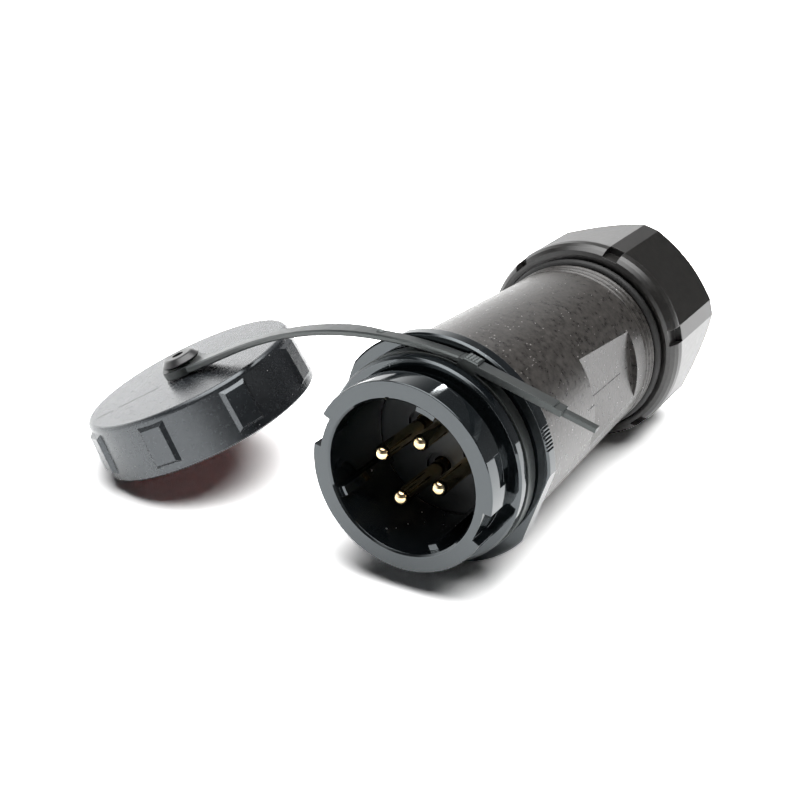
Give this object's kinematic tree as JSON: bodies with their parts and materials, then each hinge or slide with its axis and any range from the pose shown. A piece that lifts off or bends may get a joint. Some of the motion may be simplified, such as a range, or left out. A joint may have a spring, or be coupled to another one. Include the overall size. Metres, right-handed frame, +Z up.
{
  "type": "circular power connector",
  "caption": "Round cable connector with keyed pin socket, bayonet lip, flange with two flats, tapered barrel, hex gland nut and a tethered bayonet cap, lying on its side.",
  "frame": {"origin": "centre of the mating rim, on the connector's axis", "axes": "+Y along the connector's axis from the mating rim to the cable nut, +Z up as it lies"},
  "size_m": [0.0986, 0.0869, 0.0372],
  "materials": {
    "black_gloss": "moulded, glossy black",
    "black_insert": "moulded, satin black",
    "gold_contact": "gold plated, polished",
    "screw_steel": "turned, zinc plated",
    "seal_rubber": "moulded black rubber",
    "barrel_plastic": "spark-textured, matt dark grey",
    "cage_plastic": "natural moulded nylon",
    "nut_plastic": "moulded, satin black",
    "cap_plastic": "moulded, satin dark grey",
    "gasket_silicone": "red silicone",
    "button_plastic": "moulded, satin black",
    "strap_plastic": "moulded, flexible dark grey"
  },
  "bodies": {
    "connector": {"mating_shell": "black_gloss", "insert_gasket": "seal_rubber", "pin_insert": "black_insert", "contact_pin_1": "gold_contact", "contact_pin_2": "gold_contact", "contact_pin_3": "gold_contact", "contact_pin_4": "gold_contact", "terminal_screws": "screw_steel", "insert_ring": "black_insert", "barrel_seal": "seal_rubber", "rear_barrel": "barrel_plastic", "nut_seal": "seal_rubber", "gland_cage": "cage_plastic", "cable_seal": "seal_rubber"},
    "thrust": {"thrust_washer": "cage_plastic"},
    "nut": {"gland_nut": "nut_plastic"},
    "strap": {"cap_strap": "strap_plastic"},
    "cover": {"cap": "cap_plastic", "cap_gasket": "gasket_silicone", "cap_button": "button_plastic"}
  },
  "joints": [
    {"name": "gland_travel", "type": "slide", "parent": "connector", "child": "thrust", "axis": [0, 1, 0], "range_m": [0, 0.006]},
    {"name": "gland_turn", "type": "hinge", "parent": "thrust", "child": "nut", "pos_m": [0, 0.075, 0], "axis": [0, 1, 0], "range_deg": [0, 1440]},
    {"name": "strap_turn", "type": "hinge", "parent": "connector", "child": "strap", "pos_m": [0, 0.0094, 0], "axis": [0, 1, 0], "continuous": true},
    {"name": "cap_swivel", "type": "hinge", "parent": "strap", "child": "cover", "pos_m": [-0.0548, 0.01881, -0.00118], "axis": [-0.3745, -0.1667, 0.9121], "continuous": true}
  ],
  "couplings": [
    {"joint": "gland_travel", "follows": "gland_turn", "m_per_rad": 0.00023873}
  ]
}
